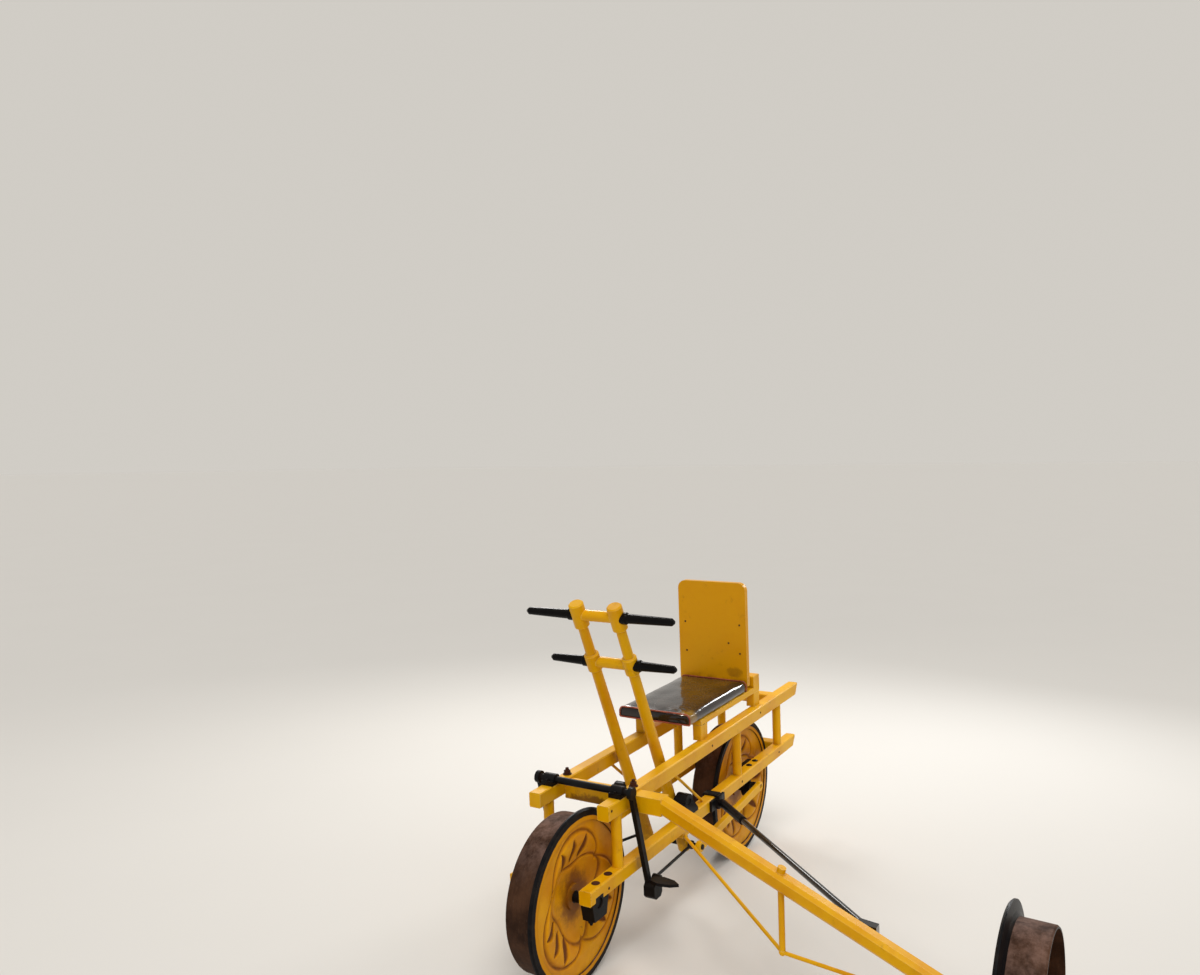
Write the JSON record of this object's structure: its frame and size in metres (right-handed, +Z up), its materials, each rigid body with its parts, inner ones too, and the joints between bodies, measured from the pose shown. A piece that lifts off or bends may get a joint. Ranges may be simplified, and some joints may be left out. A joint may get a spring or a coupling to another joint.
{
  "type": "railway velocipede",
  "caption": "Hand and foot powered railway velocipede on flanged wheels: a yellow timber frame with a padded seat, a rowing lever, treadles, and an outrigger with a small wheel.",
  "frame": {"origin": "on the ground under the middle of the machine's bounding box", "axes": "+X forward as the rider faces, +Y to the left where the outrigger is, +Z up"},
  "size_m": [1.655, 1.448, 0.9767],
  "materials": {
    "timber": "yellow gloss paint on timber, scuffed and grimy at the edges",
    "yellow_iron": "yellow gloss paint, rust-brown where it has worn",
    "black_iron": "black paint on castings and forgings",
    "tyre_steel": "rusty brown tread with a black painted flange",
    "bright_steel": "glossy black paint",
    "grip": "black enamelled turned wood",
    "vinyl": "glossy black seat cloth with dull red piping"
  },
  "bodies": {
    "frame": {"upper_rails": "timber", "lower_rails": "timber", "posts": "timber", "cross_timbers_rear": "timber", "cross_timber_front": "timber", "outrigger_beam": "timber", "seat_legs": "timber", "seat_board": "timber", "seat_rear_timber": "timber", "backrest_posts": "timber", "backrest_board": "timber", "braces": "yellow_iron", "truss_rod": "yellow_iron", "truss_post": "yellow_iron", "front_axle_boxes": "black_iron", "rear_hangers": "black_iron", "lever_bearings": "black_iron", "treadle_bearings": "black_iron", "stay_clamp": "black_iron", "outrigger_axle_block": "black_iron", "stay_rod": "bright_steel", "seat_cushion": "vinyl"},
    "front_wheelset": {"front_wheel_tyre": "tyre_steel", "front_wheel_web": "yellow_iron", "front_axle": "black_iron"},
    "rear_wheelset": {"rear_wheel_tyre": "tyre_steel", "rear_wheel_web": "yellow_iron", "rear_axle": "black_iron", "crank": "black_iron"},
    "outrigger_wheelset": {"outrigger_wheel_tyre": "tyre_steel", "outrigger_wheel_web": "yellow_iron", "outrigger_axle": "black_iron"},
    "hand_lever": {"lever_legs": "timber", "lever_crossbars": "timber", "handles_lower": "grip", "handles_upper": "grip", "lever_pivot_shaft": "black_iron", "lever_drive_pin": "black_iron"},
    "treadle": {"treadle_shaft": "black_iron", "treadle_arms": "black_iron", "treadle_blades": "black_iron"},
    "link_left": {"link_left": "black_iron"},
    "link_right": {"link_right": "black_iron"},
    "connecting_rod": {"connecting_rod": "yellow_iron"}
  },
  "joints": [
    {"name": "front_wheel_spin", "type": "hinge", "parent": "frame", "child": "front_wheelset", "pos_m": [0.59853, -0.482, 0.229], "axis": [0, 1, 0], "continuous": true},
    {"name": "rear_wheel_spin", "type": "hinge", "parent": "frame", "child": "rear_wheelset", "pos_m": [-0.43953, -0.482, 0.229], "axis": [0, 1, 0], "continuous": true},
    {"name": "outrigger_wheel_spin", "type": "hinge", "parent": "frame", "child": "outrigger_wheelset", "pos_m": [0.52546, 0.599, 0.207], "axis": [0, 1, 0], "continuous": true},
    {"name": "hand_lever_swing", "type": "hinge", "parent": "frame", "child": "hand_lever", "pos_m": [0.08301, -0.482, 0.33946], "axis": [0, 1, 0], "range_deg": [-18.8, 0]},
    {"name": "treadle_swing", "type": "hinge", "parent": "frame", "child": "treadle", "pos_m": [0.46773, -0.482, 0.47918], "axis": [0, 1, 0], "range_deg": [-11.3, 0]},
    {"name": "link_left_swing", "type": "hinge", "parent": "hand_lever", "child": "link_left", "pos_m": [-0.00097, -0.394, 0.17461], "axis": [0, 1, 0], "range_deg": [0, 19.6]},
    {"name": "link_right_swing", "type": "hinge", "parent": "hand_lever", "child": "link_right", "pos_m": [-0.00097, -0.57, 0.17461], "axis": [0, 1, 0], "range_deg": [0, 19.6]},
    {"name": "connecting_rod_swing", "type": "hinge", "parent": "hand_lever", "child": "connecting_rod", "pos_m": [-0.00097, -0.354, 0.17461], "axis": [0, 1, 0], "range_deg": [0, 18.9]}
  ],
  "couplings": [
    {"joint": "treadle_swing", "follows": "hand_lever_swing", "ratio": 0.594},
    {"joint": "link_left_swing", "follows": "hand_lever_swing", "ratio": -1.035},
    {"joint": "link_right_swing", "follows": "hand_lever_swing", "ratio": -1.035},
    {"joint": "connecting_rod_swing", "follows": "hand_lever_swing", "ratio": -1}
  ]
}
